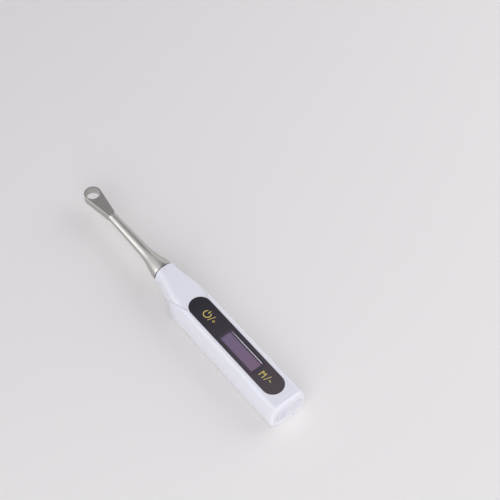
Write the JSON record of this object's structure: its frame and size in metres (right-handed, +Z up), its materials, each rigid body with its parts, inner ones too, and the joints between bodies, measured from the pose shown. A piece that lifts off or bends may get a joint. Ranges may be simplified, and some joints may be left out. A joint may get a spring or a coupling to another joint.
{
  "type": "implant torque wrench",
  "caption": "Cordless torque wrench for dental implants: oval white handle with key panel and display, and a plugged-in steel head ending in a driver bore.",
  "frame": {"origin": "where the drive shaft's axis crosses the axis of the driver bore, at mid height of the eye ring", "axes": "+X back along the wrench from the eye ring to the end cap, +Z up along the driver bore and out of the key panel, +Y across"},
  "size_m": [0.1553, 0.0202, 0.0183],
  "materials": {
    "satin_steel": "satin ground",
    "chrome_plate": "mirror",
    "seal_rubber": "matte",
    "bush_bronze": "turned",
    "tool_steel": "turned",
    "white_plastic": "polished moulding",
    "panel_film": "fine satin film",
    "display_glass": "polished",
    "board_laminate": "solder mask",
    "switch_plastic": "moulded",
    "gear_brass": "hobbed",
    "plate_aluminium": "milled",
    "motor_can": "drawn",
    "battery_wrap": "shrink wrap",
    "nickel_strip": "rolled",
    "frame_nylon": "moulded",
    "cover_silicone": "soft matte"
  },
  "bodies": {
    "handle": {"handle_housing": "white_plastic", "key_panel": "panel_film", "display_module": "display_glass", "circuit_board": "board_laminate", "power_switch": "switch_plastic", "mode_switch": "switch_plastic", "nose_socket": "tool_steel", "shaft_bearings": "tool_steel", "gear_plate": "plate_aluminium", "plate_screws": "tool_steel", "torque_sensor": "plate_aluminium", "reduction_gearbox": "motor_can", "drive_motor": "motor_can", "battery": "battery_wrap", "battery_tabs": "nickel_strip", "inner_frame": "frame_nylon", "charge_board": "board_laminate", "charge_port": "nickel_strip", "end_cap": "white_plastic"},
    "head": {"head_shell": "satin_steel", "plug_sleeve": "chrome_plate", "plug_seal": "seal_rubber", "index_pin": "chrome_plate", "shaft_bushes": "bush_bronze"},
    "head_shaft": {"drive_shaft": "tool_steel"},
    "output": {"output_shaft": "tool_steel"},
    "pinion": {"drive_pinion": "gear_brass"},
    "power_key": {"power_plunger": "switch_plastic"},
    "mode_key": {"mode_plunger": "switch_plastic"},
    "cover": {"port_cover": "cover_silicone"}
  },
  "joints": [
    {"name": "head_pull", "type": "slide", "parent": "handle", "child": "head", "axis": [-1, 0, 0], "range_m": [0, 0.018]},
    {"name": "output_spin", "type": "hinge", "parent": "handle", "child": "output", "pos_m": [0.0765, 0, 0], "axis": [1, 0, 0], "continuous": true},
    {"name": "head_shaft_spin", "type": "hinge", "parent": "head", "child": "head_shaft", "pos_m": [0.04, 0, 0], "axis": [1, 0, 0], "continuous": true},
    {"name": "pinion_spin", "type": "hinge", "parent": "handle", "child": "pinion", "pos_m": [0.0765, 0, -0.005], "axis": [1, 0, 0], "continuous": true},
    {"name": "power_press", "type": "slide", "parent": "handle", "child": "power_key", "axis": [0, 0, -1], "range_m": [0, 0.00025], "stiffness_N_per_m": 1000},
    {"name": "mode_press", "type": "slide", "parent": "handle", "child": "mode_key", "axis": [0, 0, -1], "range_m": [0, 0.00025], "stiffness_N_per_m": 1000},
    {"name": "cover_pull", "type": "slide", "parent": "handle", "child": "cover", "axis": [1, 0, 0], "range_m": [0, 0.008]}
  ],
  "couplings": [
    {"joint": "head_shaft_spin", "follows": "output_spin", "ratio": 1},
    {"joint": "pinion_spin", "follows": "output_spin", "ratio": -1.5}
  ]
}
